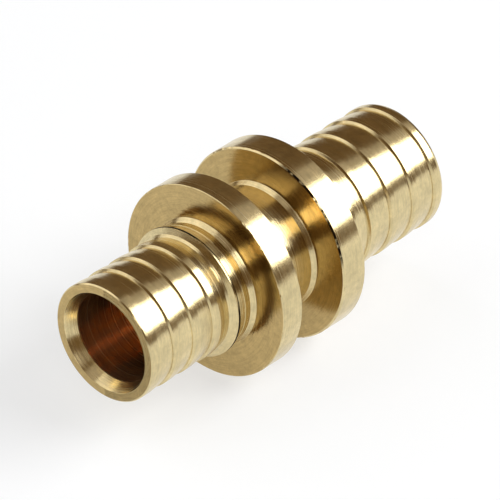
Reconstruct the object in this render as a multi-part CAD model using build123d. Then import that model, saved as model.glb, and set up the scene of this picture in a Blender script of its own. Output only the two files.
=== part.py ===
"""Brass coupling for axial-press pipe: two barbed spigots of unlike size, back to back.

The coupling is turned from one bar, so it is one solid. Its axis is +Z and it stands on the
end face of the small spigot, at z = 0. All sizes are in millimetres.
"""

import os

from build123d import *

# The bore, and the countersink that opens it at both ends
bore_diameter = 14.7
mouth_diameter = 16.6
countersink_depth = 1.9

# Small spigot, measured up from its mouth
small_crest_diameter = 19.6
small_root_diameter = 18.9
small_nose_length = 2.0
small_first_groove = 5.0
small_groove_pitch = 4.3
small_groove_count = 3
small_crest_length = 1.35
small_last_ramp = 2.15

# Collar at the inner end of the small spigot, where the pipe stops
collar_foot_width = 0.35
collar_face_rise = 0.65
collar_lip_diameter = 21.4
collar_lip_land = 0.2
relief_diameter = 19.0
relief_length = 0.4

# Large spigot, measured up from its flange
large_crest_diameter = 20.9
large_root_diameter = 20.2
large_plain_length = 5.0
large_first_groove = 7.5
large_groove_pitch = 5.0
large_groove_count = 4
large_crest_length = 1.75

# Flanges that the pressing tool's jaws grip, and the neck between and below them
flange_diameter = 32.0
small_flange_thickness = 4.2
large_flange_thickness = 4.8
jaw_gap = 9.4
neck_diameter = 20.2
neck_length = 2.4
root_cone_height = 0.9
root_cone_width = 0.45

# Every barb is a saw tooth: a ramp down to the groove, a steep wall up, a cylindrical crest
barb_wall_length = 0.15

# Broken edges
spigot_edge = 0.2
flange_edge = 0.15

small_crest_radius = small_crest_diameter / 2
small_root_radius = small_root_diameter / 2
large_crest_radius = large_crest_diameter / 2
large_root_radius = large_root_diameter / 2
neck_radius = neck_diameter / 2


def barbs(first_groove, pitch, count, root_radius, crest_radius, crest_length):
    """Outline of a row of barbs, from the first groove to the end of the last crest."""
    outline = []
    for index in range(count):
        groove = first_groove + index * pitch
        crest = groove + barb_wall_length
        outline += [
            (root_radius, groove),
            (crest_radius, crest),
            (crest_radius, crest + crest_length),
        ]
    return outline


def small_spigot():
    """Outline from the small mouth up to the end of its last crest."""
    nose = [
        (mouth_diameter / 2, 0),
        (small_crest_radius - spigot_edge, 0),
        (small_crest_radius, spigot_edge),
        (small_crest_radius, small_nose_length),
    ]
    return nose + barbs(
        small_first_groove,
        small_groove_pitch,
        small_groove_count,
        small_root_radius,
        small_crest_radius,
        small_crest_length,
    )


def collar(last_crest_end):
    """Outline of the pipe stop: a foot cone, a leaning face, a sharp lip and a relief."""
    foot = last_crest_end + small_last_ramp
    face = foot + collar_foot_width
    lip = face + collar_face_rise
    relief = lip + collar_lip_land
    relief_end = relief + relief_length
    lip_radius = collar_lip_diameter / 2
    return [
        (small_root_radius, foot),
        (small_root_radius + collar_foot_width, face),
        (lip_radius, lip),
        (lip_radius, relief),
        (relief_diameter / 2, relief),
        (relief_diameter / 2, relief_end),
        (neck_radius, relief_end),
        (neck_radius, relief_end + neck_length),
    ]


def flange(bottom, thickness):
    """Outline of a flange's rim, with its two edges broken."""
    radius = flange_diameter / 2
    top = bottom + thickness
    return [
        (radius - flange_edge, bottom),
        (radius, bottom + flange_edge),
        (radius, top - flange_edge),
        (radius - flange_edge, top),
    ]


def waist(bottom):
    """Outline of the neck between the flanges, with a cone at each root."""
    root_radius = neck_radius + root_cone_width
    top = bottom + jaw_gap
    return [
        (root_radius, bottom),
        (neck_radius, bottom + root_cone_height),
        (neck_radius, top - root_cone_height),
        (root_radius, top),
    ]


def large_spigot(bottom):
    """Outline from the large flange up to the large mouth. The last crest ends in the tip."""
    row = barbs(
        bottom + large_first_groove,
        large_groove_pitch,
        large_groove_count,
        large_root_radius,
        large_crest_radius,
        large_crest_length,
    )
    tip = row[-1][1]
    return [
        (large_crest_radius, bottom),
        (large_crest_radius, bottom + large_plain_length),
        *row[:-1],
        (large_crest_radius, tip - spigot_edge),
        (large_crest_radius - spigot_edge, tip),
        (mouth_diameter / 2, tip),
    ]


def coupling():
    """The whole turned body: one half section, turned about the axis."""
    spigot_outline = small_spigot()
    collar_outline = collar(spigot_outline[-1][1])
    small_flange_bottom = collar_outline[-1][1] + root_cone_height
    small_flange_top = small_flange_bottom + small_flange_thickness
    large_flange_bottom = small_flange_top + jaw_gap
    large_flange_top = large_flange_bottom + large_flange_thickness
    tip_outline = large_spigot(large_flange_top)
    bore_radius = bore_diameter / 2
    bore = [
        (bore_radius, tip_outline[-1][1] - countersink_depth),
        (bore_radius, countersink_depth),
    ]
    outline = [
        *spigot_outline,
        *collar_outline,
        (neck_radius + root_cone_width, small_flange_bottom),
        *flange(small_flange_bottom, small_flange_thickness),
        *waist(small_flange_top),
        *flange(large_flange_bottom, large_flange_thickness),
        *tip_outline,
        *bore,
    ]
    with BuildPart() as body:
        with BuildSketch(Plane.XZ):
            with BuildLine():
                Polyline(*outline, close=True)
            make_face()
        revolve(axis=Axis.Z)
    return body.part


os.makedirs("parts", exist_ok=True)
export_step(coupling(), "parts/coupling_body.step")
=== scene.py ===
"""A brass coupling for axial-press pipe, dressed for the studio.

The coupling is one turned piece. Geometry Nodes lathe its half section about +Z, with the two
rows of barbs worked out by a rule, and the result replaces the plain solid. Sizes are in metres
and are written in millimetres through mm().
"""

import math
from collections import namedtuple

import bpy
from bpy.props import FloatProperty, FloatVectorProperty, IntProperty, PointerProperty
from mathutils import Matrix, Vector


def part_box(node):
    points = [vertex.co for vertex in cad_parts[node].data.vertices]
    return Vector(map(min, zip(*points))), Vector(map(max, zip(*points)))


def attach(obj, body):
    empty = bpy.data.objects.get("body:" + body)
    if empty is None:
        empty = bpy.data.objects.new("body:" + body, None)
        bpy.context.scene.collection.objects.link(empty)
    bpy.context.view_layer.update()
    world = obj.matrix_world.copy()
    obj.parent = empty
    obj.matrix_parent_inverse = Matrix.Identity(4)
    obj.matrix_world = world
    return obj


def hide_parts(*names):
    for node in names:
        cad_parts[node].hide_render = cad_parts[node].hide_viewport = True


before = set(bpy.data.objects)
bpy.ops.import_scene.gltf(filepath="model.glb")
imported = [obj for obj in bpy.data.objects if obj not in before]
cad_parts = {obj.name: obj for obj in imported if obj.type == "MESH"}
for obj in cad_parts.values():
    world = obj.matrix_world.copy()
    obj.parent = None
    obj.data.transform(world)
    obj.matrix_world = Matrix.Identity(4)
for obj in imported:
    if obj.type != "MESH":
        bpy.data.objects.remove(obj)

bl_info = {
    "name": "Turned brass coupling",
    "version": (1, 0, 0),
    "blender": (4, 5, 0),
    "location": "View3D > Sidebar > Coupling",
    "description": "Turns a barbed brass pipe coupling and sets up its studio",
    "category": "Object",
}

NODE = "coupling_body"
BODY = "root"
LOW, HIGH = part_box(NODE)
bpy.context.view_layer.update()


def mm(value):
    """Millimetres as metres."""
    return value / 1000


def linear(hex_colour):
    """An sRGB hex colour as linear red, green, blue and full alpha."""
    channels = []
    for start in (1, 3, 5):
        value = int(hex_colour[start : start + 2], 16) / 255
        channels.append(value / 12.92 if value <= 0.04045 else ((value + 0.055) / 1.055) ** 2.4)
    return (*channels, 1.0)


# Points of an outline or a mesh that lie closer than this are one point
WELD = mm(0.001)
# A row of barbs has this many outline points for each barb: foot, wall top and crest end
BARB_POINTS = 3.0
# Where the normal has more Z than this, the tool was facing a flange or an end
FACE_SLOPE = 0.97
# The bored finish reaches this far past the bore's radius, and no more of the countersink
BORE_MARGIN = mm(0.02)
# Creases sharper than this keep a hard edge in the shading
SHARP_ANGLE = math.radians(6)
# The turned line on the short neck lies at this share of the neck's height
NECK_LINE_SHARE = 0.54
# At its upper end the short neck is thinner by this share of its taper
UPPER_TAPER_SHARE = 0.5
# A face keeps its flatness because a spare ring runs this many nick depths inside its edge
SPARE_RING_NICKS = 3
# Handling nicks: their size, the seed of their noise and the span over which they deepen
NICK_SIZE = mm(0.7)
NICK_SEED = 4.0
NICK_SPAN = (0.6, 0.68)
# Half the width of the band, just inside a flange's full radius, where a nick moves points
NICK_BAND = mm(0.1)
# The feed is 0.1 mm a turn; its rings are drawn 0.2 mm wide so that they show
RING_WIDTH = mm(0.2)
# The drag streaks are a few hundredths of a millimetre across; they are drawn 0.25 mm across
# so that they show. Round the axis the noise is walked on a circle of STREAK_CIRCLE's radius,
# which makes each streak about 3 mm long.
STREAK_WIDTH = mm(0.25)
STREAK_CIRCLE = mm(0.8)
# How much the streaks count beside the rings in the surface's relief
STREAK_RELIEF = 0.03
# Where the noise of the rings and of the streaks is low and high
RING_SPAN = (0.3, 0.7)
STREAK_SPAN = (0.35, 0.65)
# Tarnish patches: where their noise is low and high, and the colour's share at each
PATCH_SPAN = (0.32, 0.68)
PATCH_SHADES = (0.84, 1.14)
# How far the rings make the finish smoother and rougher
GLOSS_SHARES = (0.8, 1.25)
# The side of the coupling that faces the key softbox, as a direction from the axis; the painted
# shade lines are kept off it or put on it alone
KEY_LIT_SIDE = (0.707, -0.707, 0.0)
# Painted shade: a near-black line for the shade in the gap behind the collar's lip and for a dark
# reflection on the large flange's wide jaw edge; its colour, how much duller it is and how softly
# its broken ends fade
PAINTED_SHADE_COLOUR = "#1C130C"
PAINTED_SHADE_DULLNESS = 0.3
PAINTED_SHADE_FADE = 0.04
# A quarter turn lays the smear of a reflection across the rings
SMEAR_TURN = 0.25
WHITE = linear("#FFFFFF")
# The neutral tint of the softboxes, a little cooler than the room
BOX_COLOUR = (0.98, 0.99, 1.0)
# Half the width of the floor
FLOOR_HALF = 1.5
# Width of the camera's sensor, in Blender's millimetres, and how far it sees, in metres
SENSOR_WIDTH = 36.0
CAMERA_REACH = 10.0


def length(name, description, default):
    """A length that the user may change, in metres."""
    return FloatProperty(
        name=name,
        description=description,
        default=default,
        min=0.0,
        precision=5,
        unit="LENGTH",
        subtype="DISTANCE",
    )


def colour(name, description, hex_colour):
    """A colour that the user may change, given in sRGB hex."""
    return FloatVectorProperty(
        name=name,
        description=description,
        default=linear(hex_colour),
        size=4,
        min=0.0,
        max=1.0,
        subtype="COLOR",
    )


def level(name, description, default):
    """A softbox's radiance that the user may change."""
    return FloatProperty(name=name, description=description, default=default, min=0.0)


def point(name, description, default):
    """A place that the user may change, in metres."""
    return FloatVectorProperty(
        name=name,
        description=description,
        default=default,
        subtype="TRANSLATION",
        unit="LENGTH",
    )


class SmallSpigotSizes(bpy.types.PropertyGroup):
    """The spigot below the small flange, measured up from its mouth."""

    crest_radius: length("Crest radius", "Radius of the lands between grooves", mm(9.8))
    root_radius: length("Root radius", "Radius at the foot of a groove", mm(9.45))
    first_groove: length("First groove", "Height of the first groove's foot", mm(5.0))
    nose_length: length("Nose length", "Height of the plain land at the mouth", mm(2.0))
    pitch: length("Pitch", "Distance from one groove to the next", mm(4.3))
    count: IntProperty(name="Grooves", description="How many grooves are cut", default=3, min=1)
    crest_length: length("Crest length", "Width of a land after its steep wall", mm(1.25))


class LargeSpigotSizes(bpy.types.PropertyGroup):
    """The spigot above the large flange, measured up from that flange."""

    crest_radius: length("Crest radius", "Radius of the lands between grooves", mm(10.45))
    root_radius: length("Root radius", "Radius at the foot of a groove", mm(10.1))
    first_groove: length("First groove", "Height of the first groove's foot", mm(7.5))
    plain_length: length("Plain length", "Height of the plain land at the flange", mm(5.0))
    pitch: length("Pitch", "Distance from one groove to the next", mm(5.0))
    count: IntProperty(name="Grooves", description="How many grooves are cut", default=4, min=1)
    crest_length: length("Crest length", "Width of a land after its steep wall", mm(1.65))


class MiddleSizes(bpy.types.PropertyGroup):
    """The collar, the two flanges and the necks beside them."""

    wall_length: length("Barb wall length", "Height of every barb's steep wall", mm(0.25))
    last_ramp: length("Last ramp", "Ramp from the last small barb to the collar", mm(2.15))
    collar_foot: length("Collar foot", "Width and height of the collar's foot cone", mm(0.35))
    collar_rise: length("Collar rise", "Height of the collar's leaning face", mm(0.4))
    collar_lip: length("Collar lip radius", "Radius of the collar's sharp lip", mm(10.7))
    collar_land: length("Collar land", "Height of the collar's lip", mm(0.45))
    relief_radius: length("Relief radius", "Radius of the relief behind the collar", mm(9.5))
    relief_length: length("Relief length", "Height of the relief behind the collar", mm(0.4))
    neck_radius: length("Neck radius", "Radius of both necks", mm(10.1))
    neck_length: length("Neck length", "Height of the neck below the small flange", mm(2.5))
    neck_taper: length("Neck taper", "How much thinner the short neck is by the collar", mm(0.16))
    neck_line: length("Neck line", "Depth of the tool line round the short neck", mm(0.06))
    cone_height: length("Root cone height", "Height of the cone at a flange's root", mm(0.8))
    cone_width: length("Root cone width", "Width of the cone at a flange's root", mm(0.45))
    flange_radius: length("Flange radius", "Radius of both flanges", HIGH.x)
    flange_edge: length("Flange edge", "Size of the broken edges of the flanges", mm(0.08))
    wide_edge: length("Wide edge", "Broken edge of the large flange's jaw face", mm(0.24))
    small_flange: length("Small flange", "Thickness of the small spigot's flange", mm(4.2))
    large_flange: length("Large flange", "Thickness of the large spigot's flange", mm(4.8))
    jaw_gap: length("Jaw gap", "Gap between the flanges for the pressing tool", mm(9.4))


class BoreSizes(bpy.types.PropertyGroup):
    """The bore and its two mouths."""

    bore_radius: length("Bore radius", "Radius of the through bore", mm(7.35))
    mouth_radius: length("Mouth radius", "Radius of the countersink at an end face", mm(8.3))
    countersink: length("Countersink depth", "Depth of the countersink", mm(1.9))
    end_height: length("Length", "Height of the whole coupling", HIGH.z)
    tip_lead: length("Tip lead", "Height of the slight lead on the large end", mm(0.5))
    spigot_edge: length("Spigot edge", "Size of the broken outer edges of the ends", mm(0.2))


class LatheSettings(bpy.types.PropertyGroup):
    """How finely the body is turned."""

    segments: IntProperty(name="Segments", description="Faces round the axis", default=240, min=24)
    edge_steps: IntProperty(name="Edge steps", description="Faces round an edge", default=4, min=1)
    corner_radius: length("Corner radius", "Radius left by the tool on a fine corner", mm(0.03))
    rim_radius: length("Rim radius", "Radius left on a flange's edge", mm(0.06))
    nick_depth: length("Nick depth", "How deep the handling nicks in the rims go", mm(0.12))


class FinishSettings(bpy.types.PropertyGroup):
    """Colours of the brass, as it leaves the lathe; the faces' colour is partly painted shade."""

    turned: colour("Turned brass", "Colour of the freshly turned outside", "#DCCA9A")
    # Painted shade in part: the faces' brass is darker and more saturated than the turned brass,
    # partly a duller faced finish and partly the shade of the dark room and second reflections
    # that the faces mirror
    faced: colour(
        "Faced brass",
        "Colour of the faces, where the tool's coarser rings hold more shade",
        "#C4AA73",
    )
    bored: colour("Bored brass", "Colour of the bore, which sees only brass", "#EBC496")


class StageSettings(bpy.types.PropertyGroup):
    """The studio: five softboxes along the coupling, a dark warm room and the camera."""

    key_level: level("Key level", "Radiance of the key and middle boxes", 6.5)
    front_level: level("Front level", "Radiance of the front box", 3.7)
    left_level: level("Left level", "Radiance of the left box", 1.15)
    top_level: level("Top level", "Radiance of the top box", 0.35)
    distance: length("Distance", "Distance of the softboxes from the coupling", 0.8)
    floor_glow: FloatProperty(
        name="Floor glow",
        description="Share of plain white in the floor that the eye and the metal see",
        default=0.6,
        min=0.0,
        max=1.0,
        subtype="FACTOR",
    )
    room: colour(
        "Room",
        "Colour of the unlit room, which the metal mirrors between the softboxes",
        "#6C5538",
    )
    eye: point("Eye", "Where the camera stands", (0.5669, -0.5752, -0.5904))
    aim: point(
        "Aim",
        "The point that the camera looks at",
        (mm(10.79), mm(-11.46), mm(20.41)),
    )
    lens: FloatProperty(
        name="Lens",
        description="Focal length",
        default=483.5,
        min=1.0,
        unit="CAMERA",
    )


def add_node(tree, kind, inputs=None, **settings):
    """Adds a node, with its settings, and sets or links its inputs."""
    node = tree.nodes.new(kind)
    for name, value in settings.items():
        setattr(node, name, value)
    for socket, value in (inputs or {}).items():
        if isinstance(value, bpy.types.NodeSocket):
            tree.links.new(value, node.inputs[socket])
        else:
            node.inputs[socket].default_value = value
    return node


def new_tree(name, sockets):
    """An empty geometry tree, with its input sockets and one mesh coming out."""
    tree = bpy.data.node_groups.new(name, "GeometryNodeTree")
    for label, kind in sockets:
        tree.interface.new_socket(name=label, in_out="INPUT", socket_type=kind)
    tree.interface.new_socket(name="Mesh", in_out="OUTPUT", socket_type="NodeSocketGeometry")
    return tree


BARB_SOCKETS = [
    ("First Groove", "NodeSocketFloat"),
    ("Pitch", "NodeSocketFloat"),
    ("Count", "NodeSocketInt"),
    ("Root Radius", "NodeSocketFloat"),
    ("Crest Radius", "NodeSocketFloat"),
    ("Wall Length", "NodeSocketFloat"),
    ("Crest Length", "NodeSocketFloat"),
    ("Corner Radius", "NodeSocketFloat"),
]


def barb_row_tree():
    """Half section of a row of saw-tooth barbs: each is a foot, a steep wall and a crest."""
    tree = new_tree("barb_row", BARB_SOCKETS)
    sizes = add_node(tree, "NodeGroupInput").outputs
    index = add_node(tree, "GeometryNodeInputIndex").outputs[0]
    points = add_node(
        tree,
        "ShaderNodeMath",
        {0: sizes["Count"], 1: BARB_POINTS},
        operation="MULTIPLY",
    )
    line = add_node(
        tree,
        "GeometryNodeMeshLine",
        {"Count": points.outputs[0]},
        mode="OFFSET",
    )
    share = add_node(tree, "ShaderNodeMath", {0: index, 1: BARB_POINTS}, operation="DIVIDE")
    tooth = add_node(tree, "ShaderNodeMath", {0: share.outputs[0]}, operation="FLOOR")
    # 0 is a barb's foot, 1 the top of its wall and 2 the end of its crest
    step = add_node(tree, "ShaderNodeMath", {0: index, 1: BARB_POINTS}, operation="MODULO")
    on_crest, at_end = (
        add_node(tree, "ShaderNodeMath", {0: step.outputs[0], 1: limit}, operation="GREATER_THAN")
        for limit in (0.5, 1.5)
    )
    height = add_node(
        tree,
        "ShaderNodeMath",
        {0: tooth.outputs[0], 1: sizes["Pitch"], 2: sizes["First Groove"]},
        operation="MULTIPLY_ADD",
    )
    for part, size in ((on_crest, "Wall Length"), (at_end, "Crest Length")):
        height = add_node(
            tree,
            "ShaderNodeMath",
            {0: part.outputs[0], 1: sizes[size], 2: height.outputs[0]},
            operation="MULTIPLY_ADD",
        )
    rise = add_node(
        tree,
        "ShaderNodeMath",
        {0: sizes["Crest Radius"], 1: sizes["Root Radius"]},
        operation="SUBTRACT",
    )
    radius = add_node(
        tree,
        "ShaderNodeMath",
        {0: on_crest.outputs[0], 1: rise.outputs[0], 2: sizes["Root Radius"]},
        operation="MULTIPLY_ADD",
    )
    place = add_node(
        tree,
        "ShaderNodeCombineXYZ",
        {"X": radius.outputs[0], "Z": height.outputs[0]},
    )
    row = add_node(
        tree,
        "GeometryNodeSetPosition",
        {"Geometry": line.outputs[0], "Position": place.outputs[0]},
    )
    marked = add_node(
        tree,
        "GeometryNodeStoreNamedAttribute",
        {"Geometry": row.outputs[0], "Name": "corner_radius", "Value": sizes["Corner Radius"]},
        data_type="FLOAT",
        domain="POINT",
    )
    add_node(tree, "NodeGroupOutput", {"Mesh": marked.outputs[0]})
    return tree


ROWS = ("Small", "Large")
LATHE_SOCKETS = [
    ("Outline", "NodeSocketGeometry"),
    *((f"{row} {label}", kind) for row in ROWS for label, kind in BARB_SOCKETS),
    ("Segments", "NodeSocketInt"),
    ("Edge Steps", "NodeSocketInt"),
    ("Nick Depth", "NodeSocketFloat"),
    ("Rim Radius", "NodeSocketFloat"),
    ("Bore Limit", "NodeSocketFloat"),
    ("Turned", "NodeSocketMaterial"),
    ("Faced", "NodeSocketMaterial"),
    ("Bored", "NodeSocketMaterial"),
]


def rounded_section(tree, sizes, barb_row):
    """Joins the outline with its two rows of barbs into one closed curve with round corners."""
    outline = add_node(tree, "GeometryNodeJoinGeometry", {0: sizes["Outline"]})
    for row in ROWS:
        group = add_node(tree, "GeometryNodeGroup", node_tree=barb_row)
        for label, _ in BARB_SOCKETS:
            tree.links.new(sizes[f"{row} {label}"], group.inputs[label])
        tree.links.new(group.outputs[0], outline.inputs[0])
    joined = add_node(
        tree,
        "GeometryNodeMergeByDistance",
        {"Geometry": outline.outputs[0], "Distance": WELD},
    )
    curve = add_node(tree, "GeometryNodeMeshToCurve", {"Mesh": joined.outputs[0]})
    corner = add_node(
        tree,
        "GeometryNodeInputNamedAttribute",
        {"Name": "corner_radius"},
        data_type="FLOAT",
    )
    rounded = add_node(
        tree,
        "GeometryNodeFilletCurve",
        {
            "Curve": curve.outputs[0],
            "Count": sizes["Edge Steps"],
            "Radius": corner.outputs[0],
            "Limit Radius": True,
        },
        mode="POLY",
    )
    return rounded.outputs[0]


def turned_sheet(tree, sizes, section):
    """Bends a grid into the body: each row is one point of the section, turned about +Z."""
    points = add_node(
        tree,
        "GeometryNodeAttributeDomainSize",
        {"Geometry": section},
        component="CURVE",
    ).outputs["Point Count"]
    # One row more closes the section, and one column more closes the turn
    rows = add_node(tree, "ShaderNodeMath", {0: points, 1: 1.0}, operation="ADD")
    columns = add_node(
        tree,
        "ShaderNodeMath",
        {0: sizes["Segments"], 1: 1.0},
        operation="ADD",
    ).outputs[0]
    sheet = add_node(
        tree,
        "GeometryNodeMeshGrid",
        {"Vertices X": rows.outputs[0], "Vertices Y": columns},
    )
    index = add_node(tree, "GeometryNodeInputIndex").outputs[0]
    share = add_node(tree, "ShaderNodeMath", {0: index, 1: columns}, operation="DIVIDE")
    row = add_node(tree, "ShaderNodeMath", {0: share.outputs[0]}, operation="FLOOR")
    row = add_node(tree, "ShaderNodeMath", {0: row.outputs[0], 1: points}, operation="MODULO")
    column = add_node(tree, "ShaderNodeMath", {0: index, 1: columns}, operation="MODULO")
    turn = add_node(
        tree,
        "ShaderNodeMath",
        {0: column.outputs[0], 1: sizes["Segments"]},
        operation="DIVIDE",
    )
    angle = add_node(
        tree,
        "ShaderNodeMath",
        {0: turn.outputs[0], 1: math.tau},
        operation="MULTIPLY",
    )
    place = add_node(tree, "GeometryNodeInputPosition").outputs[0]
    sampled = add_node(
        tree,
        "GeometryNodeSampleIndex",
        {"Geometry": section, "Value": place, "Index": row.outputs[0]},
        data_type="FLOAT_VECTOR",
        domain="POINT",
    )
    turned = add_node(
        tree,
        "ShaderNodeVectorRotate",
        {"Vector": sampled.outputs[0], "Angle": angle.outputs[0]},
        rotation_type="Z_AXIS",
    )
    lathed = add_node(
        tree,
        "GeometryNodeSetPosition",
        {"Geometry": sheet.outputs[0], "Position": turned.outputs[0]},
    )
    closed = add_node(
        tree,
        "GeometryNodeMergeByDistance",
        {"Geometry": lathed.outputs[0], "Distance": WELD},
    )
    return closed.outputs[0]


def axis_fields(tree, place):
    """The distance of a place from the axis, and the direction from the axis to it."""
    flat = add_node(
        tree,
        "ShaderNodeVectorMath",
        {0: place, 1: (1.0, 1.0, 0.0)},
        operation="MULTIPLY",
    ).outputs[0]
    radius = add_node(tree, "ShaderNodeVectorMath", {0: flat}, operation="LENGTH")
    outward = add_node(tree, "ShaderNodeVectorMath", {0: flat}, operation="NORMALIZE")
    return radius.outputs["Value"], outward.outputs[0]


def nicked_rims(tree, sizes, mesh):
    """Handling nicks: where a noise peaks, a flange's rounded edge is pushed in."""
    place = add_node(tree, "GeometryNodeInputPosition").outputs[0]
    radius, outward = axis_fields(tree, place)
    blows = add_node(
        tree,
        "ShaderNodeTexNoise",
        {"Vector": place, "W": NICK_SEED, "Scale": 1 / NICK_SIZE, "Detail": 0.0},
        noise_dimensions="4D",
    )
    blow = add_node(
        tree,
        "ShaderNodeMapRange",
        {"Value": blows.outputs[0], "From Min": NICK_SPAN[0], "From Max": NICK_SPAN[1]},
    )
    on_edge = add_node(
        tree,
        "ShaderNodeMath",
        {0: radius, 1: sizes["Rim Radius"], 2: NICK_BAND},
        operation="COMPARE",
    )
    depth = add_node(
        tree,
        "ShaderNodeMath",
        {0: blow.outputs[0], 1: sizes["Nick Depth"]},
        operation="MULTIPLY",
    )
    inwards = add_node(
        tree,
        "ShaderNodeMath",
        {0: depth.outputs[0], 1: -1.0},
        operation="MULTIPLY",
    )
    push = add_node(
        tree,
        "ShaderNodeVectorMath",
        {0: outward, "Scale": inwards.outputs[0]},
        operation="SCALE",
    )
    nicked = add_node(
        tree,
        "GeometryNodeSetPosition",
        {"Geometry": mesh, "Selection": on_edge.outputs[0], "Offset": push.outputs[0]},
    )
    return nicked.outputs[0]


def finished(tree, sizes, mesh):
    """Gives the outside, the faces and the bore their finishes."""
    smooth = add_node(tree, "GeometryNodeSetShadeSmooth", {"Geometry": mesh})
    real = add_node(tree, "GeometryNodeRealizeInstances", {"Geometry": smooth.outputs[0]})
    outside = add_node(
        tree,
        "GeometryNodeSetMaterial",
        {"Geometry": real.outputs[0], "Material": sizes["Turned"]},
    )
    normal = add_node(tree, "GeometryNodeInputNormal").outputs[0]
    slope = add_node(tree, "ShaderNodeSeparateXYZ", {0: normal})
    steep = add_node(tree, "ShaderNodeMath", {0: slope.outputs["Z"]}, operation="ABSOLUTE")
    is_face = add_node(
        tree,
        "ShaderNodeMath",
        {0: steep.outputs[0], 1: FACE_SLOPE},
        operation="GREATER_THAN",
    )
    faced = add_node(
        tree,
        "GeometryNodeSetMaterial",
        {
            "Geometry": outside.outputs[0],
            "Selection": is_face.outputs[0],
            "Material": sizes["Faced"],
        },
    )
    place = add_node(tree, "GeometryNodeInputPosition").outputs[0]
    radius, _ = axis_fields(tree, place)
    in_bore = add_node(
        tree,
        "ShaderNodeMath",
        {0: radius, 1: sizes["Bore Limit"]},
        operation="LESS_THAN",
    )
    bored = add_node(
        tree,
        "GeometryNodeSetMaterial",
        {
            "Geometry": faced.outputs[0],
            "Selection": in_bore.outputs[0],
            "Material": sizes["Bored"],
        },
    )
    return bored.outputs[0]


def lathe_tree(barb_row):
    """The whole lathe: section, turning, nicks and finishes."""
    tree = new_tree("coupling_lathe", LATHE_SOCKETS)
    sizes = add_node(tree, "NodeGroupInput").outputs
    section = rounded_section(tree, sizes, barb_row)
    body = turned_sheet(tree, sizes, section)
    nicked = nicked_rims(tree, sizes, body)
    add_node(tree, "NodeGroupOutput", {"Mesh": finished(tree, sizes, nicked)})
    return tree


def flange_rim(radius, bottom, top, lower_edge, upper_edge, rim, margin):
    """Outline of a flange's rim: two broken edges, and a spare ring on the face beside each."""
    return [
        (radius - lower_edge - margin, bottom, 0.0),
        (radius - lower_edge, bottom, rim),
        (radius, bottom + lower_edge, rim),
        (radius, top - upper_edge, rim),
        (radius - upper_edge, top, rim),
        (radius - upper_edge - margin, top, 0.0),
    ]


def outline_runs(scene):
    """The half section without its barbs: two open runs of (radius, height, corner radius).

    It also gives the heights of the large flange's outer face and of the collar's lip.
    """
    small, large, middle = scene.small_spigot, scene.large_spigot, scene.middle
    bore, lathe = scene.bore, scene.lathe
    fine, rim = lathe.corner_radius, lathe.rim_radius
    margin = lathe.nick_depth * SPARE_RING_NICKS
    crest_end = small.first_groove + (small.count - 1) * small.pitch
    crest_end += middle.wall_length + small.crest_length
    foot = crest_end + middle.last_ramp
    face = foot + middle.collar_foot
    lip = face + middle.collar_rise
    relief = lip + middle.collar_land
    neck = relief + middle.relief_length
    line = neck + middle.neck_length * NECK_LINE_SHARE
    cone = neck + middle.neck_length
    bottom = cone + middle.cone_height
    top = bottom + middle.small_flange
    second = top + middle.jaw_gap
    second_top = second + middle.large_flange
    edge, wide_edge, radius = middle.flange_edge, middle.wide_edge, middle.flange_radius
    neck_radius = middle.neck_radius
    root = neck_radius + middle.cone_width
    tip = bore.end_height
    between = [
        (small.crest_radius, crest_end, fine),
        (small.root_radius, foot, fine),
        (small.root_radius + middle.collar_foot, face, fine),
        (middle.collar_lip, lip, fine),
        (middle.collar_lip, relief, fine),
        (middle.relief_radius, relief, fine),
        (middle.relief_radius, neck, fine),
        (neck_radius - middle.neck_taper, neck, fine),
        (neck_radius, line - middle.neck_line, 0.0),
        (neck_radius - middle.neck_line, line, 0.0),
        (neck_radius, line + middle.neck_line, 0.0),
        (neck_radius - middle.neck_taper * UPPER_TAPER_SHARE, cone, fine),
        (root, bottom, fine),
        *flange_rim(radius, bottom, top, edge, edge, rim, margin),
        (root, top, fine),
        (neck_radius, top + middle.cone_height, fine),
        (neck_radius, second - middle.cone_height, fine),
        (root, second, fine),
        *flange_rim(radius, second, second_top, wide_edge, edge, rim, margin),
        (large.crest_radius, second_top, fine),
        (large.crest_radius, second_top + large.plain_length, fine),
        (large.root_radius, second_top + large.first_groove, fine),
    ]
    ends = [
        (large.crest_radius, tip - bore.tip_lead, fine),
        (large.crest_radius - bore.spigot_edge, tip, fine),
        (bore.mouth_radius, tip, fine),
        (bore.bore_radius, tip - bore.countersink, fine),
        (bore.bore_radius, bore.countersink, fine),
        (bore.mouth_radius, 0.0, fine),
        (small.crest_radius - bore.spigot_edge, 0.0, fine),
        (small.crest_radius, bore.spigot_edge, fine),
        (small.crest_radius, small.nose_length, fine),
        (small.root_radius, small.first_groove, fine),
    ]
    return second_top, relief, [between, ends]


# A broken line of painted shade: a dark colour put in a gap's shade and on an edge's dark
# reflection. It lies round the axis at a height, outside a radius. A share of it is left bare, and
# the cosine from the key-lit side says where it starts and where it is whole.
PaintedShadeLine = namedtuple("PaintedShadeLine", "height half_width least_radius bare starts whole")


def streak_noise(tree, section, outward):
    """Short streaks round the axis, where the chip dragged."""
    on_circle = add_node(
        tree,
        "ShaderNodeVectorMath",
        {0: outward, 1: (STREAK_CIRCLE, STREAK_CIRCLE, 0.0), 2: section},
        operation="MULTIPLY_ADD",
    )
    lifted = add_node(tree, "ShaderNodeSeparateXYZ", {0: outward})
    # Without a fourth coordinate, places at two heights would share one streak
    apart = add_node(
        tree,
        "ShaderNodeMath",
        {0: lifted.outputs["Y"], 1: STREAK_CIRCLE},
        operation="MULTIPLY",
    )
    streaks = add_node(
        tree,
        "ShaderNodeTexNoise",
        {
            "Vector": on_circle.outputs[0],
            "W": apart.outputs[0],
            "Scale": 1 / STREAK_WIDTH,
            "Detail": 2.0,
            "Roughness": 0.7,
        },
        noise_dimensions="4D",
    )
    return streaks.outputs[0]


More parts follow.
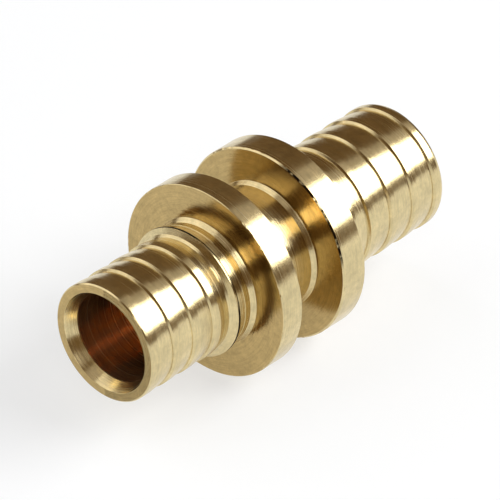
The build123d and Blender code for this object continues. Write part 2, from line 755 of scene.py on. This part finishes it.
def painted_shade_share(tree, line, height, radius, patches, key_facing):
    """How much of a place one line of painted shade covers, from 0 to 1."""
    at_line = add_node(
        tree,
        "ShaderNodeMath",
        {0: height, 1: line.height, 2: line.half_width},
        operation="COMPARE",
    )
    outside = add_node(
        tree,
        "ShaderNodeMath",
        {0: radius, 1: line.least_radius},
        operation="GREATER_THAN",
    )
    left = add_node(
        tree,
        "ShaderNodeMapRange",
        {"Value": patches, "From Min": line.bare - PAINTED_SHADE_FADE, "From Max": line.bare + PAINTED_SHADE_FADE},
    )
    kept = add_node(
        tree,
        "ShaderNodeMapRange",
        {"Value": key_facing, "From Min": line.starts, "From Max": line.whole},
    )
    share = at_line.outputs[0]
    for part in (outside, left, kept):
        share = add_node(
            tree,
            "ShaderNodeMath",
            {0: share, 1: part.outputs[0]},
            operation="MULTIPLY",
        ).outputs[0]
    return share


def brass(name, tint, roughness, anisotropy, ring_slope, drag_depth, patch_size, shade_lines=()):
    """Free-cutting brass as the tool leaves it.

    The tool's feed leaves fine rings, which smear a reflection along the axis on a cylinder and
    outwards on a face, while round the axis it stays sharp. Short streaks show where the chip
    dragged, and the metal has tarnished a little in patches.
    """
    material = bpy.data.materials.new(name)
    material.use_nodes = True
    tree = material.node_tree
    tree.nodes.clear()
    place = add_node(tree, "ShaderNodeTexCoord").outputs["Object"]
    height = add_node(tree, "ShaderNodeSeparateXYZ", {0: place}).outputs["Z"]
    radius, outward = axis_fields(tree, place)
    section = add_node(tree, "ShaderNodeCombineXYZ", {0: radius, 1: height}).outputs[0]
    rings = add_node(
        tree,
        "ShaderNodeTexNoise",
        {"Vector": section, "Scale": 1 / RING_WIDTH, "Detail": 2.0, "Roughness": 0.6},
        noise_dimensions="2D",
    ).outputs[0]
    streaks = streak_noise(tree, section, outward)
    patches = add_node(
        tree,
        "ShaderNodeTexNoise",
        {"Vector": place, "Scale": 1 / patch_size, "Detail": 5.0, "Roughness": 0.78},
    ).outputs[0]
    tarnish = add_node(tree, "ShaderNodeValToRGB", {"Fac": patches})
    for element, stop, shade in zip(tarnish.color_ramp.elements, PATCH_SPAN, PATCH_SHADES):
        element.position = stop
        element.color = [min(channel * shade, 1.0) for channel in tint[:3]] + [1.0]
    drag = add_node(
        tree,
        "ShaderNodeMapRange",
        {
            "Value": streaks,
            "From Min": STREAK_SPAN[0],
            "From Max": STREAK_SPAN[1],
            "To Min": 1 - drag_depth,
        },
    )
    base = add_node(
        tree,
        "ShaderNodeVectorMath",
        {0: tarnish.outputs[0], "Scale": drag.outputs[0]},
        operation="SCALE",
    ).outputs[0]
    gloss = add_node(
        tree,
        "ShaderNodeMapRange",
        {
            "Value": rings,
            "From Min": RING_SPAN[0],
            "From Max": RING_SPAN[1],
            "To Min": roughness * GLOSS_SHARES[0],
            "To Max": roughness * GLOSS_SHARES[1],
        },
    ).outputs[0]
    relief = add_node(
        tree,
        "ShaderNodeMath",
        {0: streaks, 1: STREAK_RELIEF, 2: rings},
        operation="MULTIPLY_ADD",
    )
    bump = add_node(
        tree,
        "ShaderNodeBump",
        {"Height": relief.outputs[0], "Strength": 1.0, "Distance": RING_WIDTH * ring_slope},
    )
    tangent = add_node(tree, "ShaderNodeTangent", direction_type="RADIAL", axis="Z")
    key_facing = add_node(
        tree,
        "ShaderNodeVectorMath",
        {0: outward, 1: KEY_LIT_SIDE},
        operation="DOT_PRODUCT",
    ).outputs["Value"]
    # Painted shade: each line mixes in a near-black colour and a duller finish, standing in for a
    # gap's shade and a dark reflection
    for line in shade_lines:
        painted_shade = painted_shade_share(tree, line, height, radius, patches, key_facing)
        base = add_node(
            tree,
            "ShaderNodeMix",
            {"Factor": painted_shade, 6: base, 7: linear(PAINTED_SHADE_COLOUR)},
            data_type="RGBA",
        ).outputs[2]
        gloss = add_node(
            tree,
            "ShaderNodeMath",
            {0: painted_shade, 1: PAINTED_SHADE_DULLNESS, 2: gloss},
            operation="MULTIPLY_ADD",
        ).outputs[0]
    metal = add_node(
        tree,
        "ShaderNodeBsdfPrincipled",
        {
            "Base Color": base,
            "Metallic": 1.0,
            "Roughness": gloss,
            "Anisotropic": anisotropy,
            "Anisotropic Rotation": SMEAR_TURN,
            "Normal": bump.outputs[0],
            "Tangent": tangent.outputs[0],
        },
    )
    add_node(tree, "ShaderNodeOutputMaterial", {"Surface": metal.outputs[0]})
    return material


def painted_shade_lines(scene, second_top, lip_end):
    """Lines of painted shade: behind the collar's lip, where a gap's shade falls, and a painted
    dark reflection on the large flange's jaw face.
    """
    middle = scene.middle
    jaw_face = second_top - middle.large_flange
    lip_radius = middle.collar_lip - mm(0.1)
    return [
        # Wide painted shade behind the lip, all round but the key-lit side
        PaintedShadeLine(
            height=lip_end - mm(0.2),
            half_width=mm(0.2),
            least_radius=lip_radius,
            bare=0.3,
            starts=0.9,
            whole=0.8,
        ),
        # Thin painted shade behind the lip, all the way round
        PaintedShadeLine(
            height=lip_end - mm(0.08),
            half_width=mm(0.08),
            least_radius=lip_radius,
            bare=0.3,
            starts=-2.0,
            whole=-1.9,
        ),
        # Painted dark reflection on the wide broken edge, on the key-lit side alone
        PaintedShadeLine(
            height=jaw_face + mm(0.12),
            half_width=mm(0.13),
            least_radius=middle.flange_radius - mm(0.26),
            bare=0.44,
            starts=0.8,
            whole=0.88,
        ),
    ]


def finishes(scene, second_top, lip_end):
    """The three brass finishes, by the names of their sockets."""
    colours = scene.finish
    return {
        # Fine turned brass: a pale bright metal whose reflections are soft-edged and long; it also
        # carries the lines of painted shade
        "Turned": brass(
            "turned_brass",
            colours.turned,
            roughness=0.22,
            anisotropy=0.4,
            ring_slope=0.04,
            drag_depth=0.13,
            patch_size=mm(2.5),
            shade_lines=painted_shade_lines(scene, second_top, lip_end),
        ),
        # Faced brass: the tool's pull leaves it mottled and crisper; its darker colour is partly a
        # duller finish and partly painted shade
        "Faced": brass(
            "faced_brass",
            colours.faced,
            roughness=0.15,
            anisotropy=0.5,
            ring_slope=0.04,
            drag_depth=0.16,
            patch_size=mm(1.2),
        ),
        # Bored brass: it only sees itself, so each reflection makes it redder and darker
        "Bored": brass(
            "bored_brass",
            colours.bored,
            roughness=0.22,
            anisotropy=0.8,
            ring_slope=0.006,
            drag_depth=0.1,
            patch_size=mm(2.0),
        ),
    }


def outline_object(scene, runs):
    """The two runs of the outline as a mesh of edges, with a corner radius at each point."""
    points, edges, corners = [], [], []
    for run in runs:
        start = len(points)
        points += [(radius, 0.0, height) for radius, height, _ in run]
        corners += [corner for _, _, corner in run]
        edges += [(i, i + 1) for i in range(start, len(points) - 1)]
    mesh = bpy.data.meshes.new("coupling_outline")
    mesh.from_pydata(points, edges, [])
    mesh.attributes.new("corner_radius", "FLOAT", "POINT").data.foreach_set("value", corners)
    outline = bpy.data.objects.new("coupling_outline", mesh)
    scene.collection.objects.link(outline)
    return outline


class COUPLING_OT_turn_body(bpy.types.Operator):
    """Turn the coupling's body from its half section"""

    bl_idname = "coupling.turn_body"
    bl_label = "Turn the body"

    def execute(self, context):
        scene = context.scene
        lathe, middle = scene.lathe, scene.middle
        second_top, lip_end, runs = outline_runs(scene)
        # The nicked band stops a weld short of the full radius, so that the rim stays whole
        band_radius = middle.flange_radius - WELD - NICK_BAND
        given = {
            "Segments": lathe.segments,
            "Edge Steps": lathe.edge_steps,
            "Nick Depth": lathe.nick_depth,
            "Rim Radius": band_radius,
            "Bore Limit": scene.bore.bore_radius + BORE_MARGIN,
            **finishes(scene, second_top, lip_end),
        }
        # Each row's spigot, the height it is measured from, and what its last crest gives up
        rows = (
            ("Small", scene.small_spigot, 0.0, 0.0),
            ("Large", scene.large_spigot, second_top, scene.bore.tip_lead),
        )
        for row, spigot, start, lead in rows:
            given |= {
                f"{row} First Groove": start + spigot.first_groove,
                f"{row} Pitch": spigot.pitch,
                f"{row} Count": spigot.count,
                f"{row} Root Radius": spigot.root_radius,
                f"{row} Crest Radius": spigot.crest_radius,
                f"{row} Wall Length": middle.wall_length,
                f"{row} Crest Length": spigot.crest_length - lead,
                f"{row} Corner Radius": lathe.corner_radius,
            }
        outline = outline_object(scene, runs)
        tree = lathe_tree(barb_row_tree())
        modifier = outline.modifiers.new("lathe", "NODES")
        modifier.node_group = tree
        for item in tree.interface.items_tree:
            if item.item_type == "SOCKET" and item.in_out == "INPUT" and item.name in given:
                modifier[item.identifier] = given[item.name]
        context.view_layer.update()
        seen = outline.evaluated_get(context.evaluated_depsgraph_get())
        shell = bpy.data.meshes.new_from_object(seen)
        bpy.data.objects.remove(outline)
        shell.name = "turned_body"
        shell.set_sharp_from_angle(angle=SHARP_ANGLE)
        body = bpy.data.objects.new("turned_body", shell)
        scene.collection.objects.link(body)
        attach(body, BODY)
        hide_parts(NODE)
        return {"FINISHED"}


def floor_material(glow_share):
    """White laminate board under soft light: it goes white for the eye and for the metal."""
    material = bpy.data.materials.new("white_laminate_board")
    material.use_nodes = True
    tree = material.node_tree
    tree.nodes.clear()
    path = add_node(tree, "ShaderNodeLightPath").outputs
    seen = add_node(
        tree,
        "ShaderNodeMath",
        {0: path["Is Camera Ray"], 1: path["Is Glossy Ray"]},
        operation="MAXIMUM",
    )
    share = add_node(
        tree,
        "ShaderNodeMath",
        {0: seen.outputs[0], 1: glow_share},
        operation="MULTIPLY",
    )
    matt = add_node(tree, "ShaderNodeBsdfDiffuse", {"Color": WHITE})
    glow = add_node(tree, "ShaderNodeEmission", {"Color": WHITE, "Strength": 1.0})
    lit = add_node(
        tree,
        "ShaderNodeMixShader",
        {0: share.outputs[0], 1: matt.outputs[0], 2: glow.outputs[0]},
    )
    behind = add_node(tree, "ShaderNodeNewGeometry").outputs["Backfacing"]
    clear = add_node(tree, "ShaderNodeBsdfTransparent")
    one_sided = add_node(
        tree,
        "ShaderNodeMixShader",
        {0: behind, 1: lit.outputs[0], 2: clear.outputs[0]},
    )
    add_node(tree, "ShaderNodeOutputMaterial", {"Surface": one_sided.outputs[0]})
    return material


def board(name, centre, across, along, material):
    """A flat board that faces the side its two edges turn towards."""
    centre, across, along = Vector(centre), Vector(across) * FLOOR_HALF, Vector(along) * FLOOR_HALF
    corners = [
        centre - across - along,
        centre + across - along,
        centre + across + along,
        centre - across + along,
    ]
    mesh = bpy.data.meshes.new(name)
    mesh.from_pydata(corners, [], [(0, 1, 2, 3)])
    mesh.materials.append(material)
    piece = bpy.data.objects.new(name, mesh)
    bpy.context.scene.collection.objects.link(piece)
    return piece


def softbox(name, facing, distance, slide, size, radiance):
    """A rectangular lamp over the coupling, slid along its axis; size is (along, across)."""
    lamp = bpy.data.lights.new(name, "AREA")
    lamp.shape = "RECTANGLE"
    lamp.size, lamp.size_y = size
    lamp.energy = radiance * math.pi * size[0] * size[1]
    lamp.color = BOX_COLOUR
    box = bpy.data.objects.new(name, lamp)
    back = Vector(facing).normalized()
    across = Vector((0.0, -1.0, 0.0)).cross(back).normalized()
    rise = back.cross(across)
    turn = Matrix((across, rise, back)).transposed().to_4x4()
    place = (LOW + HIGH) / 2 + back * distance + Vector((0.0, 0.0, slide))
    box.matrix_world = Matrix.Translation(place) @ turn
    bpy.context.scene.collection.objects.link(box)


def studio_room(tint):
    """A plain room: white behind the coupling, and dark and warm where the metal mirrors it."""
    world = bpy.data.worlds.new("studio_room")
    world.use_nodes = True
    tree = world.node_tree
    tree.nodes.clear()
    path = add_node(tree, "ShaderNodeLightPath").outputs
    mirrored = add_node(tree, "ShaderNodeBackground", {"Color": tint, "Strength": 1.0})
    seen = add_node(tree, "ShaderNodeBackground", {"Color": WHITE, "Strength": 1.0})
    mixed = add_node(
        tree,
        "ShaderNodeMixShader",
        {0: path["Is Camera Ray"], 1: mirrored.outputs[0], 2: seen.outputs[0]},
    )
    add_node(tree, "ShaderNodeOutputWorld", {"Surface": mixed.outputs[0]})
    # The room's colour stays off the floor
    world.cycles_visibility.diffuse = False
    return world


def studio_camera(stage):
    """The camera, which holds the coupling's up side, -Y, upwards."""
    lens = bpy.data.cameras.new("camera")
    lens.sensor_width = SENSOR_WIDTH
    lens.lens = stage.lens
    lens.clip_end = CAMERA_REACH
    camera = bpy.data.objects.new("camera", lens)
    forward = (Vector(stage.aim) - Vector(stage.eye)).normalized()
    right = forward.cross((0.0, -1.0, 0.0)).normalized()
    up = right.cross(forward)
    turn = Matrix((right, up, -forward)).transposed().to_4x4()
    camera.matrix_world = Matrix.Translation(stage.eye) @ turn
    bpy.context.scene.collection.objects.link(camera)
    return camera


class COUPLING_OT_build_stage(bpy.types.Operator):
    """Set up the floor, the lamps, the room and the camera"""

    bl_idname = "coupling.build_stage"
    bl_label = "Build the stage"

    def execute(self, context):
        scene, stage = context.scene, context.scene.stage
        centre = (LOW + HIGH) / 2
        white = floor_material(stage.floor_glow)
        # The coupling lies on its flanges with its up side towards -Y, so its floor is at +Y
        lying = board("lying_floor", (0.0, HIGH.y, centre.z), (1, 0, 0), (0, 0, 1), white)
        lying.visible_shadow = False
        standing = board("standing_floor", (0.0, 0.0, LOW.z), (1, 0, 0), (0, 1, 0), white)
        # Only the eye sees the standing floor
        for ray in ("diffuse", "glossy", "transmission", "shadow"):
            setattr(standing, f"visible_{ray}", False)
        # Each box: the side that it stands on, its shift along the axis, its size (along, across)
        right, left, top = (0.69, -0.724, 0.0), (-0.719, -0.695, 0.0), (0.10, -0.995, 0.0)
        boxes = (
            ("key_softbox", right, 0.84, (0.72, 0.74), stage.key_level),
            ("middle_softbox", right, 0.27, (0.42, 0.38), stage.key_level),
            ("front_softbox", right, -0.75, (0.66, 0.36), stage.front_level),
            ("left_softbox", left, -0.42, (1.36, 1.16), stage.left_level),
            ("top_softbox", top, 0.4, (1.6, 0.34), stage.top_level),
        )
        for name, facing, slide, size, radiance in boxes:
            softbox(name, facing, stage.distance, slide, size, radiance)
        scene.world = studio_room(stage.room[:])
        scene.camera = studio_camera(stage)
        scene.view_settings.view_transform = "Standard"
        return {"FINISHED"}


class COUPLING_PT_panel(bpy.types.Panel):
    """Lists the coupling's operators and sizes"""

    bl_idname = "COUPLING_PT_panel"
    bl_label = "Turned brass coupling"
    bl_space_type = "VIEW_3D"
    bl_region_type = "UI"
    bl_category = "Coupling"

    def draw(self, context):
        layout = self.layout
        for operator in OPERATORS:
            layout.operator(operator.bl_idname)
        for name in GROUPS:
            box = layout.box()
            box.label(text=name.replace("_", " ").capitalize())
            group = getattr(context.scene, name)
            for size in group.bl_rna.properties:
                if size.identifier in group.__annotations__:
                    box.prop(group, size.identifier)


GROUPS = {
    "small_spigot": SmallSpigotSizes,
    "large_spigot": LargeSpigotSizes,
    "middle": MiddleSizes,
    "bore": BoreSizes,
    "lathe": LatheSettings,
    "finish": FinishSettings,
    "stage": StageSettings,
}
OPERATORS = (COUPLING_OT_turn_body, COUPLING_OT_build_stage)
CLASSES = (*GROUPS.values(), *OPERATORS, COUPLING_PT_panel)


def register():
    """Registers the classes and hangs the sizes on the scene."""
    for item in CLASSES:
        bpy.utils.register_class(item)
    for name, group in GROUPS.items():
        setattr(bpy.types.Scene, name, PointerProperty(type=group))


def unregister():
    """Takes the sizes off the scene and the classes out again."""
    for name in GROUPS:
        delattr(bpy.types.Scene, name)
    for item in reversed(CLASSES):
        bpy.utils.unregister_class(item)


def main():
    """Makes the coupling and its stage."""
    register()
    bpy.ops.coupling.turn_body()
    bpy.ops.coupling.build_stage()


if __name__ == "__main__":
    main()
